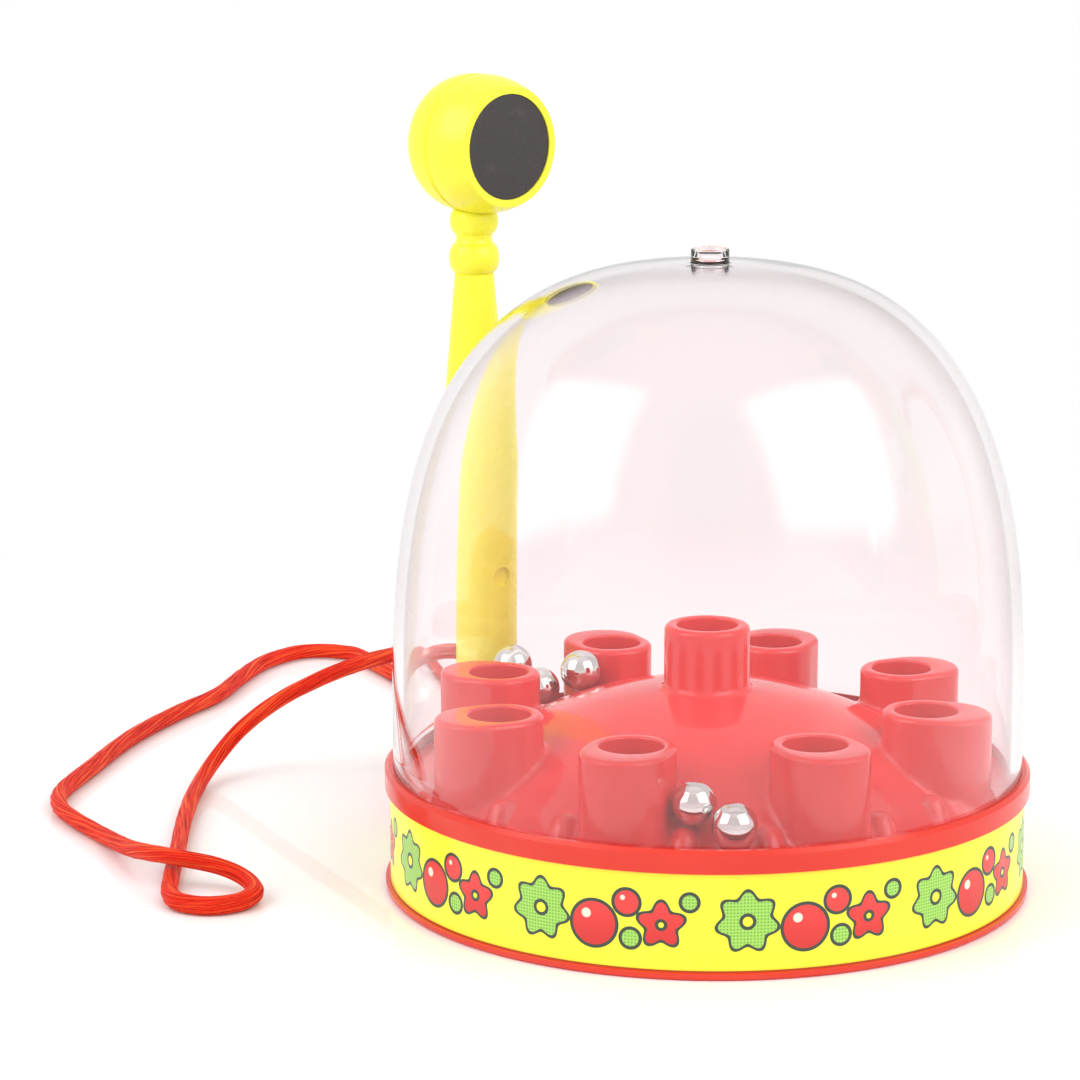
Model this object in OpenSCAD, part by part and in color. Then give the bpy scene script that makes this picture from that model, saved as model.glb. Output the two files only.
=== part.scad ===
// Magnetic ball-drop game: a round base with nine cups under a clear dome,
// loose steel balls, and a magnet hammer parked in a socket on a tether cord.
// Millimetres, +Z up, origin at the middle of the underside.
// The photographed side of the base faces -Y.

/* [Base] */
// Outside diameter of the base
base_d = 120; // [112:1:150]
// Height of the base to the top of its rim
base_h = 23.2; // [22.4:0.2:30]
// Thickness of the side wall behind the label
wall = 2.2; // [1.6:0.1:3]
// Thickness of the bottom plate
bottom_t = 2; // [1.6:0.1:3]
// Width of the rim outside the dome's foot
rim_w = 1.5; // [1:0.1:1.8]
// Depth of the deck's top below the rim
seat_depth = 2; // [1.2:0.1:2.4]
// Bevel round the rim's outer edge
rim_bevel = 0.7; // [0.2:0.1:0.9]

/* [Label] */
// Height of the foot strip under the label
label_foot = 1.3; // [0.8:0.1:3]
// Height of the rim above the label
rim_h = 4.1; // [4.1:0.1:10]
// Thickness of the label
label_t = 0.2; // [0.1:0.05:0.4]
// How far the label lies inside the base's outside face
label_inset = 0.9; // [0.5:0.1:1]

/* [Deck] */
// Thickness of the deck
deck_t = 2; // [1.6:0.1:3]
// Thickness of the deck's edge, which the dome stands on
flange_t = 1.2; // [1:0.1:1.6]
// Height of the mound above the trough
mound_h = 16.4; // [12:0.2:20]
// Width of the flat trough between the mound and the dome
trough_w = 8.4; // [8.2:0.2:12]
// Number of cups in the ring
ring_cups = 8; // [6:1:8]
// Direction of the first ring cup, from the front towards the right
ring_turn = 26.9; // [0:0.1:45]
// Radius of the bumps between the cups
bump_r = 2.7; // [1.5:0.1:3]
// Distance from the dome to the middles of the bumps
bump_inset = 9.4; // [8.4:0.1:10]
// Angle from a bump to the middle of the gap that it stands in
bump_turn = 9; // [7:0.1:9]

/* [Cups] */
// Bore of each cup
cup_bore_d = 11.3; // [10:0.1:12]
// Wall of each cup
cup_wall = 2.3; // [1.6:0.1:2.6]
// How far a ring cup's outer side reaches past its round tube
cup_reach = 3.8; // [2:0.1:5]
// Space between a ring cup and the dome
cup_dome_gap = 2.9; // [2:0.1:4]
// Height of the ring cups above the trough
ring_cup_h = 15.4; // [14.6:0.2:20]
// Height of the centre cup above the top of the mound
centre_cup_h = 11.6; // [8:0.2:16]
// Depth of each cup
cup_depth = 13.6; // [11:0.2:14]
// Thickness under each cup's bore
cup_floor_t = 1.8; // [1.2:0.1:3]
// Bevel round each cup's rim
cup_bevel = 1; // [0.4:0.1:1.4]

/* [Dome] */
// Wall of the dome
dome_wall = 2; // [1.6:0.1:3]
// Height of the dome above its foot
dome_h = 95.2; // [80:0.2:120]
// Height of the straight lower part of the dome
dome_straight = 10; // [4:0.2:20]
// Squareness of the dome's shoulder, where 2 is an ellipse
dome_power = 2.74; // [2.2:0.02:3]
// Diameter of the nub on top
nub_d = 7; // [4:0.5:10]
// Height of the nub
nub_h = 2.6; // [1:0.1:4]

/* [Balls] */
// Diameter of each steel ball
ball_d = 8; // [6:0.1:8]
// Air left under a ball that rests on the deck
ball_gap = 0.1; // [0.05:0.01:0.2]
// Air left beside a ball that lies against a cup or another ball
ball_side_gap = 0.35; // [0.3:0.05:0.5]

/* [Hammer] */
// Direction of the hammer's socket, from the front towards the left
socket_turn = 137.3; // [135:0.1:140]
// Air between the hammer's grip and the base
grip_gap = 1.1; // [0.8:0.1:3]
// Diameter of the grip
grip_d = 13.8; // [13:0.1:16]
// Length of the straight grip
grip_len = 53; // [40:1:70]
// Length of the taper from the grip to the neck
taper_len = 34.4; // [25:0.2:45]
// Diameter of the neck under the lower bead
neck_d = 7.7; // [6.4:0.1:8.6]
// Diameter of the lower bead
lower_bead_d = 9.9; // [9:0.1:11]
// Height of the lower bead
lower_bead_h = 6.2; // [5:0.1:7.5]
// Diameter of the waist between the beads
waist_d = 6.9; // [6.6:0.1:7.5]
// Height of the waist between the beads
waist_h = 1.5; // [1:0.1:3]
// Diameter of the upper bead
upper_bead_d = 9.5; // [9:0.1:10.4]
// Height of the upper bead
upper_bead_h = 5.3; // [4.6:0.1:7]
// Diameter of the collar that carries the head
collar_d = 8; // [7:0.1:8.6]
// Diameter of the spigot that stands in the socket
spigot_d = 13; // [10:0.1:13]
// Diameter of the tenon inside the head
tenon_d = 6; // [4:0.2:6.4]
// Length of the tenon inside the head
tenon_len = 7; // [4:0.5:10]
// Diameter of the dimple in the grip
dimple_d = 4.2; // [2:0.1:5]
// Depth of the dimple
dimple_depth = 1.2; // [0.5:0.1:2]
// Height of the dimple above the grip's lower end
dimple_up = 28; // [18:1:35]
// Direction that the dimple faces, from the front towards the right
dimple_turn = 38; // [0:1:90]

/* [Head] */
// Diameter of the head
head_d = 27; // [26.5:0.5:32]
// Diameter of the flat face round the magnet
face_d = 23.2; // [23:0.1:25]
// Distance from the head's middle to its flat face
face_off = 8.4; // [8.2:0.1:9.4]
// Distance from the head's middle back to the seam of its two shells
seam_off = 1; // [1:0.1:2.6]
// Distance from the seam to the back of the head
rear_len = 11.5; // [9:0.5:14]
// Squareness of the head's back, where 2 is an ellipse
rear_power = 2.5; // [2:0.05:2.6]
// Wall of the head's shells
head_wall = 1.7; // [1.4:0.1:2.2]
// Distance from the neck's axis forward to the head's middle
head_shift = 2.4; // [0:0.1:2.6]
// Direction that the magnet faces, from the front towards the right
head_turn = 44; // [0:1:90]
// Diameter of the magnet
magnet_d = 20.3; // [14:0.1:21.4]
// Thickness of the magnet
magnet_t = 4; // [3:0.1:4.2]
// Depth of the magnet's front below the flat face
magnet_sunk = 0.3; // [0:0.05:0.6]

/* [Socket] */
// Depth of the socket
socket_depth = 17; // [14:0.5:17.5]
// Drop from the rim to the socket's top
socket_drop = 3.2; // [2.4:0.1:3.2]
// Air round the spigot in the socket
socket_gap = 0.25; // [0.15:0.05:0.4]
// Wall of the socket
socket_wall = 2.5; // [1.8:0.1:3.5]

/* [Cord] */
// Diameter of the tether cord
cord_d = 3.5; // [2.5:0.1:3.5]
// Height of the cord's hole in the grip above the grip's lower end
grip_hole_up = 11; // [8:0.5:12]
// Depth of each hole that holds an end of the cord
hole_depth = 4; // [3:0.1:4.5]
// Height of the cord's hole in the socket
anchor_z = 15; // [12:0.5:16]
// Reach of the cord's boss past the socket's wall
anchor_reach = 3; // [2.6:0.1:3]

/* [Screws] */
// Number of screws that hold the deck to the base
deck_screw_count = 4; // [4, 8]
// Distance from the axis to each screw
screw_ring_r = 28.2; // [26:0.2:29]
// Diameter of a screw's thread
screw_d = 2.9; // [2.5:0.1:3]
// Length of a screw's thread
screw_len = 11; // [8:0.5:14]
// Diameter of a screw's head
screw_head_d = 5.6; // [5:0.1:6]
// Height of a screw's head
screw_head_h = 2; // [1.4:0.1:2.4]

/* [Hidden] */

$fn = 96;
wide_fn = 180;
touch_gap = 0.05;
merge = 0.4;

base_r = base_d / 2;
label_r = base_r - label_inset;
label_h = base_h - rim_h - label_foot;
recess_r = label_r - label_t - touch_gap;
inner_r = recess_r - wall;
seat_r = base_r - rim_w;
seat_z = base_h - seat_depth;
ledge_z = seat_z - flange_t;

dome_r = seat_r - touch_gap;
dome_in_r = dome_r - dome_wall;
dome_round_z = seat_z + dome_straight;
dome_top_z = seat_z + dome_h;
curve_steps = 24;

deck_r = seat_r - touch_gap;
deck_body_r = inner_r - touch_gap;
mound_r = dome_in_r - trough_w;
mound_ball_r = (mound_r * mound_r + mound_h * mound_h) / (2 * mound_h);
mound_ball_z = seat_z + mound_h - mound_ball_r;
bump_ring_r = dome_in_r - bump_inset;

cup_r = cup_bore_d / 2 + cup_wall;
ring_r = dome_in_r - cup_dome_gap - cup_reach - cup_r;
ring_step = 360 / ring_cups;
ring_rim_z = seat_z + ring_cup_h;
centre_rim_z = seat_z + mound_h + centre_cup_h;

screw_hole_r = screw_d / 2 + touch_gap;
screw_seat_z = bottom_t + 1;
screw_step = 360 / deck_screw_count;
boss_r = screw_head_d / 2 + 1.9;
boss_top = screw_seat_z + 3;
post_r = screw_d / 2 + 2.1;

ball_r = ball_d / 2;

// Where the balls lie: cups counted from the first, turns from the front, gaps to the dome
ball_1_cup = 7;
ball_1_off = 2.4;
ball_2_turn = 57;
ball_5_cup = 4;
ball_5_off = -7.2;
ball_4_turn = -101;
ball_6_gap = 0.45;
ball_6_turn = -128;
ball_3_gap = 0.7;
ball_3_turn = -132;

grip_r = grip_d / 2;
hammer_r = base_r + grip_gap + grip_r;
hammer_x = -hammer_r * sin(socket_turn);
hammer_y = -hammer_r * cos(socket_turn);
spigot_r = spigot_d / 2;
socket_r = spigot_r + socket_gap;
lug_r = socket_r + socket_wall;
lug_top = base_h - socket_drop;
socket_floor = lug_top - socket_depth;
web_r = lug_r - 1.5;
web_drop = 1;

handle_z = socket_floor + touch_gap;
grip_z = lug_top + touch_gap;
grip_top_z = grip_z + grip_len;
neck_z = grip_top_z + taper_len;
lower_bead_z = neck_z + lower_bead_h / 2;
waist_z = neck_z + lower_bead_h + waist_h / 2;
upper_bead_z = waist_z + waist_h / 2 + upper_bead_h / 2;
collar_z = upper_bead_z + upper_bead_h / 2;
collar_r = collar_d / 2;
tenon_r = tenon_d / 2;
tenon_root = 2;
grip_round = 1.1;
shoulder_h = 3;
bead_foot = 0.75;

head_r = head_d / 2;
head_in_r = head_r - head_wall;
head_z = collar_z + sqrt(head_r * head_r - collar_r * collar_r) - merge;
front_len = face_off / sqrt(1 - pow(face_d / head_d, 2));
seam_a = asin(-seam_off / front_len);
face_a = asin(face_off / front_len);
head_back = seam_off + rear_len;
magnet_back = face_off - magnet_sunk - magnet_t;
magnet_bore_r = magnet_d / 2 + touch_gap;
seam_bevel = 0.35;
web_taper = 1;
sleeve_r = tenon_r + head_wall;

cord_r = cord_d / 2;
cord_hole_r = cord_r + touch_gap;
cord_sides = 8;
grip_hole_z = grip_z + grip_hole_up;
grip_hole_turn = -104;
anchor_turn = -134;
anchor_r = cord_r + 1.5;

// Middle line of the tether from its hole in the grip to its hole in the socket
cord_route = [
    [-53.2, 51.8, 31.1], [-57, 52.8, 30.8], [-63, 56.8, 28.8], [-71, 63, 25.3],
    [-80, 67.3, 20.7], [-89, 69.7, 15.3], [-96.5, 69, 9.4], [-101.2, 63.7, 4.3],
    [-103.2, 52, 1.8], [-102.7, 31, 1.8], [-100.9, 8, 1.8], [-99.6, -9, 1.8],
    [-98.4, -19.1, 1.8], [-95.7, -24.5, 1.8], [-90.1, -26.4, 1.8], [-84.7, -23.7, 1.8],
    [-82.8, -18.1, 2.1], [-85.6, -12.9, 3.1], [-90.8, -10.5, 4.5], [-98.5, -9.4, 5.7],
    [-104.4, -4.6, 5.1], [-109.6, 4, 3.4], [-116.4, 16.6, 1.9], [-123.6, 27.4, 1.8],
    [-128.6, 37, 1.8], [-130.1, 48, 1.8], [-127.6, 64, 1.8], [-122.8, 90, 1.8],
    [-116, 111, 1.8], [-109.2, 127.5, 1.8], [-105.8, 145, 1.8], [-102, 159, 1.8],
    [-95.2, 168.6, 1.8], [-86.5, 169.4, 1.8], [-78.6, 161.6, 1.8], [-60.5, 122, 1.8],
    [-60.5, 80, 5.6], [-61, 68, 11.8], [-57.5, 61, 15], [-53, 56.7, 15]
];

// Point at distance r from the axis, turned from the front towards the right
function polar(r, turn) = [r * sin(turn), -r * cos(turn)];
function gap_turn(k) = ring_turn + (k + 0.5) * ring_step;
function unit(v) = v / norm(v);

// Height of the middle of a ball that rests on the deck at distance r from the axis
function rest_z(r) = ball_gap + max(
    seat_z + ball_r,
    mound_ball_z + sqrt(pow(mound_ball_r + ball_r, 2) - r * r));
function on_deck(p) = [p[0], p[1], rest_z(norm(p))];

// A ball beside ring cup k, off along the cup's own direction
function beside_cup(k, off, side) = let (
    turn = ring_turn + k * ring_step,
    reach = cup_r + ball_r + ball_side_gap,
    across = sqrt(reach * reach - pow(min(off, 0), 2)))
    on_deck(polar(ring_r + off, turn) + side * polar(across, turn + 90));

// A ball that lies beside the ball at p, and one on top of it that leans on the dome
function beside_ball(p, turn) = on_deck([p[0], p[1]] + polar(ball_d + ball_side_gap, turn));
function by_dome(gap, turn) = on_deck(polar(dome_in_r - ball_r - gap, turn));
function atop_ball(p, gap, turn) = let (
    q = polar(dome_in_r - ball_r - gap, turn),
    side = norm(q - [p[0], p[1]]))
    [q[0], q[1], p[2] + sqrt(pow(ball_d + ball_gap, 2) - side * side)];

ball_1_at = beside_cup(ball_1_cup, ball_1_off, 1);
ball_2_at = beside_ball(ball_1_at, ball_2_turn);
ball_5_at = beside_cup(ball_5_cup, ball_5_off, 1);
ball_4_at = beside_ball(ball_5_at, ball_4_turn);
ball_6_at = by_dome(ball_6_gap, ball_6_turn);
ball_3_at = atop_ball(ball_6_at, ball_3_gap, ball_3_turn);

// Quarter of a squared-off outline, from its widest point to its end on the axis
function quarter(r, from_z, to_z, power) =
    [for (i = [0:curve_steps]) let (a = 90 * i / curve_steps)
        [r * pow(cos(a), 2 / power), from_z + (to_z - from_z) * pow(sin(a), 2 / power)]];

function arc_line(c, r, from, to, steps) =
    [for (i = [0:steps]) let (a = from + (to - from) * i / steps)
        [c[0] + r[0] * cos(a), c[1] + r[1] * sin(a)]];

function bead_line(d, z, h) =
    arc_line([collar_r - bead_foot, z], [d / 2 - collar_r + bead_foot, h / 2], -75, 75, 14);

// A point at share t of the smooth curve from b to c, where a and d are their neighbours
function bend(a, b, c, d, t) = 0.5 * (2 * b + (c - a) * t
    + (2 * a - 5 * b + 4 * c - d) * t * t + (3 * b - a - 3 * c + d) * t * t * t);
function on_floor(p) = [p[0], p[1], max(p[2], cord_r + touch_gap)];
function smooth(p, parts) = concat(
    [for (i = [0:len(p) - 2]) for (k = [0:parts - 1]) on_floor(
        bend(p[max(i - 1, 0)], p[i], p[i + 1], p[min(i + 2, len(p) - 1)], k / parts))],
    [p[len(p) - 1]]);

function cord_dir(p, i) = unit(p[min(i + 1, len(p) - 1)] - p[max(i - 1, 0)]);
function cord_ring(p, i) = let (
    d = cord_dir(p, i),
    u = unit(cross(d, [0, 0, 1])),
    v = cross(u, d))
    [for (k = [0:cord_sides - 1]) let (a = 360 * (k + 0.5) / cord_sides)
        p[i] + cord_r * (cos(a) * u + sin(a) * v)];

module red() { color([0.97, 0.27, 0.22]) children(); }
module yellow() { color([1, 0.93, 0.1]) children(); }
module steel() { color([0.8, 0.81, 0.83]) children(); }
module cord_red() { color([0.93, 0.18, 0.1]) children(); }

module at_hammer(z = 0) { translate([hammer_x, hammer_y, z]) children(); }

// Turns a shape drawn along +Z so that it points level, in a given direction
module level(turn) { rotate([0, 90, turn - 90]) children(); }

module at_screws() {
    for (k = [0:deck_screw_count - 1])
        translate(concat(polar(screw_ring_r, gap_turn(0) + k * screw_step), 0)) children();
}

module at_ring_cups() {
    for (k = [0:ring_cups - 1])
        rotate([0, 0, ring_turn + k * ring_step - 90]) translate([ring_r, 0, 0]) children();
}

module at_bumps() {
    for (k = [0:ring_cups - 1]) for (side = [-1, 1])
        translate(concat(polar(bump_ring_r, gap_turn(k) + side * bump_turn), seat_z)) children();
}

module base_ring() {
    edge = 0.4;
    rotate_extrude($fn = wide_fn) polygon([
        [0, 0], [base_r - edge, 0], [base_r, edge], [base_r, label_foot],
        [recess_r, label_foot], [recess_r, label_foot + label_h],
        [base_r, label_foot + label_h], [base_r, base_h - rim_bevel],
        [base_r - rim_bevel, base_h], [seat_r, base_h], [seat_r, ledge_z],
        [inner_r, ledge_z], [inner_r, bottom_t], [0, bottom_t]]);
}

// The socket's tube and the web that ties it to the base's wall
module socket_lug() {
    at_hammer() cylinder(r = lug_r, h = lug_top);
    at_hammer(anchor_z) level(anchor_turn) cylinder(r = anchor_r, h = lug_r + anchor_reach);
    rotate([0, 0, -socket_turn - 90]) translate([inner_r + 1, -web_r, 0])
        cube([hammer_r - spigot_r / 2 - inner_r, 2 * web_r, lug_top - web_drop]);
}

module base_shell() {
    red() difference() {
        union() {
            base_ring();
            socket_lug();
            at_screws() cylinder(r = boss_r, h = boss_top);
        }
        at_hammer(socket_floor) cylinder(r = socket_r, h = socket_depth + 1);
        at_hammer(anchor_z) level(anchor_turn)
            translate([0, 0, lug_r + anchor_reach - hole_depth])
                cylinder(r = cord_hole_r, h = hole_depth + 1);
        at_screws() {
            translate([0, 0, -1]) cylinder(r = screw_head_d / 2 + 0.2, h = screw_seat_z + 1);
            cylinder(r = screw_hole_r + 0.2, h = boss_top + 1);
        }
    }
}

// A cup's outside: a round tube, drawn out along +X by reach
module cup_body(reach, z0, z1) {
    body_h = z1 - z0 - cup_bevel;
    for (x = reach > 0 ? [0, reach] : [0]) translate([x, 0, z0]) {
        cylinder(r = cup_r, h = body_h);
        translate([0, 0, body_h]) cylinder(r1 = cup_r, r2 = cup_r - cup_bevel, h = cup_bevel);
    }
    if (reach > 0) rotate([90, 0, 90]) linear_extrude(height = reach) polygon([
        [-cup_r, z0], [cup_r, z0], [cup_r, z1 - cup_bevel], [cup_r - cup_bevel, z1],
        [cup_bevel - cup_r, z1], [-cup_r, z1 - cup_bevel]]);
}

module cup_bore(z1) { translate([0, 0, z1 - cup_depth]) cylinder(d = cup_bore_d, h = cup_depth + 1); }

module mound_cap(r) { translate([0, 0, mound_ball_z]) sphere(r = r, $fn = wide_fn); }

module deck_plate() {
    difference() {
        union() {
            translate([0, 0, ledge_z]) cylinder(r = deck_r, h = flange_t, $fn = wide_fn);
            translate([0, 0, seat_z - deck_t]) cylinder(r = deck_body_r, h = deck_t, $fn = wide_fn);
            intersection() {
                mound_cap(mound_ball_r);
                translate([0, 0, seat_z - deck_t]) cylinder(r = mound_r + 1, h = mound_h + deck_t + 1);
            }
        }
        intersection() {
            mound_cap(mound_ball_r - deck_t);
            cylinder(r = mound_r, h = seat_z + mound_h);
        }
    }
}

// Posts under the deck that take the screws, cut off inside the mound's own thickness
module screw_posts() {
    intersection() {
        at_screws() translate([0, 0, boss_top]) cylinder(r = post_r, h = seat_z + mound_h);
        mound_cap(mound_ball_r - merge);
    }
}

module play_deck() {
    red() difference() {
        union() {
            deck_plate();
            screw_posts();
            cup_body(0, centre_rim_z - cup_depth - cup_floor_t, centre_rim_z);
            at_ring_cups() cup_body(cup_reach, seat_z - deck_t, ring_rim_z);
            at_bumps() intersection() {
                sphere(r = bump_r, $fn = 32);
                translate([-bump_r, -bump_r, -merge]) cube([2 * bump_r, 2 * bump_r, 2 * bump_r]);
            }
        }
        cup_bore(centre_rim_z);
        at_ring_cups() cup_bore(ring_rim_z);
        at_screws() translate([0, 0, boss_top - 1])
            cylinder(r = screw_hole_r, h = screw_seat_z + screw_len + 2 - boss_top);
    }
}

module dome() {
    color([0.9, 0.95, 1, 0.35]) difference() {
        union() {
            rotate_extrude($fn = wide_fn) polygon(concat(
                [[0, seat_z], [dome_r, seat_z]],
                quarter(dome_r, dome_round_z, dome_top_z, dome_power)));
            translate([0, 0, dome_top_z - 1]) cylinder(d = nub_d, h = nub_h + 1);
        }
        rotate_extrude($fn = wide_fn) polygon(concat(
            [[0, seat_z - 1], [dome_in_r, seat_z - 1]],
            quarter(dome_in_r, dome_round_z, dome_top_z - dome_wall, dome_power)));
    }
}

// The label is open where the socket's web passes through it
module label_band() {
    color([1, 0.95, 0.15]) difference() {
        translate([0, 0, label_foot]) cylinder(r = label_r, h = label_h, $fn = wide_fn);
        translate([0, 0, label_foot - 1]) cylinder(r = recess_r + touch_gap, h = label_h + 2, $fn = wide_fn);
        rotate([0, 0, -socket_turn - 90]) translate([0, -lug_r - 0.5, 0])
            cube([base_d, 2 * lug_r + 1, base_h]);
    }
}

module deck_screws() {
    steel() at_screws() translate([0, 0, screw_seat_z - screw_head_h]) {
        cylinder(d = screw_head_d, h = screw_head_h);
        cylinder(d = screw_d, h = screw_head_h + screw_len);
    }
}

module ball(p) { steel() translate(p) sphere(r = ball_r, $fn = 64); }
module ball_1() { ball(ball_1_at); }
module ball_2() { ball(ball_2_at); }
module ball_3() { ball(ball_3_at); }
module ball_4() { ball(ball_4_at); }
module ball_5() { ball(ball_5_at); }
module ball_6() { ball(ball_6_at); }

module handle_line() {
    edge = 0.4;
    polygon(concat(
        [[0, handle_z], [spigot_r - edge, handle_z], [spigot_r, handle_z + edge],
         [spigot_r, grip_z], [grip_r - edge, grip_z], [grip_r, grip_z + edge]],
        arc_line([grip_r - grip_round, grip_top_z - shoulder_h], [grip_round, 2 * shoulder_h], 0, 30, 6),
        [[neck_d / 2, neck_z]],
        bead_line(lower_bead_d, lower_bead_z, lower_bead_h),
        [[waist_d / 2, waist_z]],
        bead_line(upper_bead_d, upper_bead_z, upper_bead_h),
        [[collar_r, collar_z], [collar_r, head_z], [0, head_z]]));
}

module hammer_handle() {
    yellow() difference() {
        union() {
            difference() {
                at_hammer() rotate_extrude() handle_line();
                head_block(touch_gap);
            }
            at_hammer(collar_z - tenon_root) cylinder(r = tenon_r, h = tenon_len + tenon_root);
        }
        at_hammer(grip_hole_z) level(grip_hole_turn)
            translate([0, 0, grip_r - hole_depth]) cylinder(r = cord_hole_r, h = hole_depth + 1);
        at_hammer(grip_z + dimple_up) level(dimple_turn)
            translate([0, 0, grip_r - dimple_depth]) cylinder(d = dimple_d, h = dimple_depth + 1);
    }
}

// Places a shape drawn with +Z as the magnet's direction
module in_head() { at_hammer(head_z) level(head_turn) translate([0, 0, head_shift]) children(); }

// The head's whole outside, made larger by gap
module head_block(gap) {
    in_head() rotate_extrude() polygon(concat(
        [[0, -seam_off], [0, face_off]],
        arc_line([0, 0], [head_r + gap, front_len + gap], face_a, seam_a, 24)));
    in_head() rotate([180, 0, 0]) rotate_extrude() polygon(concat(
        [[0, seam_off - touch_gap], [head_r + gap, seam_off - touch_gap]],
        quarter(head_r + gap, seam_off + seam_bevel, head_back + gap, rear_power)));
}

module tenon_hole() {
    at_hammer(collar_z - tenon_root)
        cylinder(r = tenon_r + touch_gap, h = tenon_len + tenon_root + touch_gap);
}

// Tube round the tenon inside the head, one part in each shell
module head_sleeve() {
    at_hammer(head_z - head_in_r - merge) cylinder(r = sleeve_r, h = tenon_len + head_wall);
}

module head_front() {
    rim_r = head_r * cos(seam_a);
    web_z = magnet_back - head_wall;
    yellow() difference() {
        union() {
            in_head() rotate_extrude() polygon(concat(
                [[0, magnet_back], [magnet_bore_r, magnet_back], [magnet_bore_r, face_off]],
                arc_line([0, 0], [head_r, front_len], face_a, seam_a + 2, 24),
                [[rim_r - seam_bevel, -seam_off], [head_in_r, -seam_off],
                 [head_in_r, 0], [head_in_r - web_taper, web_z], [0, web_z]]));
            intersection() {
                head_sleeve();
                in_head() translate([0, 0, -seam_off])
                    cylinder(r = head_in_r + merge, h = web_z + seam_off + merge / 2);
            }
        }
        tenon_hole();
    }
}

module head_rear() {
    yellow() difference() {
        union() {
            in_head() rotate([180, 0, 0]) rotate_extrude() difference() {
                polygon(concat(
                    [[0, seam_off], [head_r - seam_bevel, seam_off]],
                    quarter(head_r, seam_off + seam_bevel, head_back, rear_power)));
                polygon(concat(
                    [[0, seam_off - 1], [head_in_r, seam_off - 1]],
                    quarter(head_in_r, seam_off + seam_bevel, head_back - head_wall, rear_power)));
            }
            intersection() {
                head_sleeve();
                in_head() rotate([180, 0, 0]) rotate_extrude() polygon(concat(
                    [[0, seam_off], [head_in_r + merge, seam_off]],
                    quarter(head_in_r + merge, seam_off + seam_bevel,
                            head_back - head_wall + merge, rear_power)));
            }
        }
        tenon_hole();
    }
}

module head_magnet() {
    color([0.26, 0.23, 0.23]) in_head() translate([0, 0, magnet_back]) cylinder(d = magnet_d, h = magnet_t);
}

// The length of cord that is fixed inside the grip
module cord_end() {
    cord_red() at_hammer(grip_hole_z) level(grip_hole_turn)
        translate([0, 0, grip_r - hole_depth]) cylinder(r = cord_r, h = hole_depth);
}

module tether_cord() {
    p = smooth(cord_route, 2);
    n = len(p);
    m = cord_sides;
    points = [for (i = [0:n - 1]) each cord_ring(p, i)];
    sides = [for (i = [0:n - 2]) for (k = [0:m - 1]) each
        [[i * m + k, i * m + (k + 1) % m, (i + 1) * m + k],
         [i * m + (k + 1) % m, (i + 1) * m + (k + 1) % m, (i + 1) * m + k]]];
    caps = [[for (k = [m - 1:-1:0]) k], [for (k = [0:m - 1]) (n - 1) * m + k]];
    cord_red() polyhedron(points, concat(sides, caps), convexity = 8);
}

base_shell();
play_deck();
dome();
label_band();
deck_screws();
ball_1();
ball_2();
ball_3();
ball_4();
ball_5();
ball_6();
hammer_handle();
head_front();
head_rear();
head_magnet();
cord_end();
tether_cord();
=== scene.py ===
import math

import bmesh
import bpy
from mathutils import Matrix, Quaternion, Vector, geometry, noise


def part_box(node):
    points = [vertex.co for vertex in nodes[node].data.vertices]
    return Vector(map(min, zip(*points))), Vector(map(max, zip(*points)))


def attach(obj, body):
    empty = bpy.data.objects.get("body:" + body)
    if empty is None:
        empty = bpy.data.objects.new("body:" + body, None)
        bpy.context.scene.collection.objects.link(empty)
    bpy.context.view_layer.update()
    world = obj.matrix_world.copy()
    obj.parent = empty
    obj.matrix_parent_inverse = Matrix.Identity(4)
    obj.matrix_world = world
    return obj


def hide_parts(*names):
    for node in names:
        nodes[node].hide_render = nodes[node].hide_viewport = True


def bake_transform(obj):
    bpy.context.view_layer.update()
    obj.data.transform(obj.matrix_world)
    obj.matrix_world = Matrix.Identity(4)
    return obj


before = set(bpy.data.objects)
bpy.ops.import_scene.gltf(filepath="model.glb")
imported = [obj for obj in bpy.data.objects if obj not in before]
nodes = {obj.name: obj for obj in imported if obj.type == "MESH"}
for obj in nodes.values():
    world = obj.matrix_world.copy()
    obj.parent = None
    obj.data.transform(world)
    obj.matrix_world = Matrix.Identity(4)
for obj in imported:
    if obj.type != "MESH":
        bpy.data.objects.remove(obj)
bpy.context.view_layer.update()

MM = 0.001


# Camera, fitted to the photograph: place in millimetres, angles in radians, focal length in pixels
PHOTO_PX = 1080
CAMERA_AT = (0.0, -660.34, 204.29)
CAMERA_YAW, CAMERA_PITCH, CAMERA_ROLL = 0.0469, 0.2081, -0.0020
CAMERA_FOCAL_PX = 3657.64


def make_camera():
    data = bpy.data.cameras.new("camera")
    data.sensor_width = 36.0
    data.lens = CAMERA_FOCAL_PX / PHOTO_PX * data.sensor_width
    data.clip_start, data.clip_end = 0.01, 20.0
    forward = Vector((-math.sin(CAMERA_YAW) * math.cos(CAMERA_PITCH),
                      math.cos(CAMERA_YAW) * math.cos(CAMERA_PITCH), -math.sin(CAMERA_PITCH)))
    right = forward.cross(Vector((0, 0, 1))).normalized()
    up = right.cross(forward)
    c, s = math.cos(CAMERA_ROLL), math.sin(CAMERA_ROLL)
    right, up = right * c + up * s, up * c - right * s
    camera = bpy.data.objects.new("camera", data)
    turn = Matrix((right, up, -forward)).transposed()
    camera.matrix_world = Matrix.Translation(Vector(CAMERA_AT) * MM) @ turn.to_4x4()
    bpy.context.scene.collection.objects.link(camera)
    bpy.context.scene.camera = camera


def new_object(name, mesh, smooth=True):
    piece = bpy.data.objects.new(name, mesh)
    bpy.context.scene.collection.objects.link(piece)
    for face in mesh.polygons:
        face.use_smooth = smooth
    return piece


make_camera()


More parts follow.
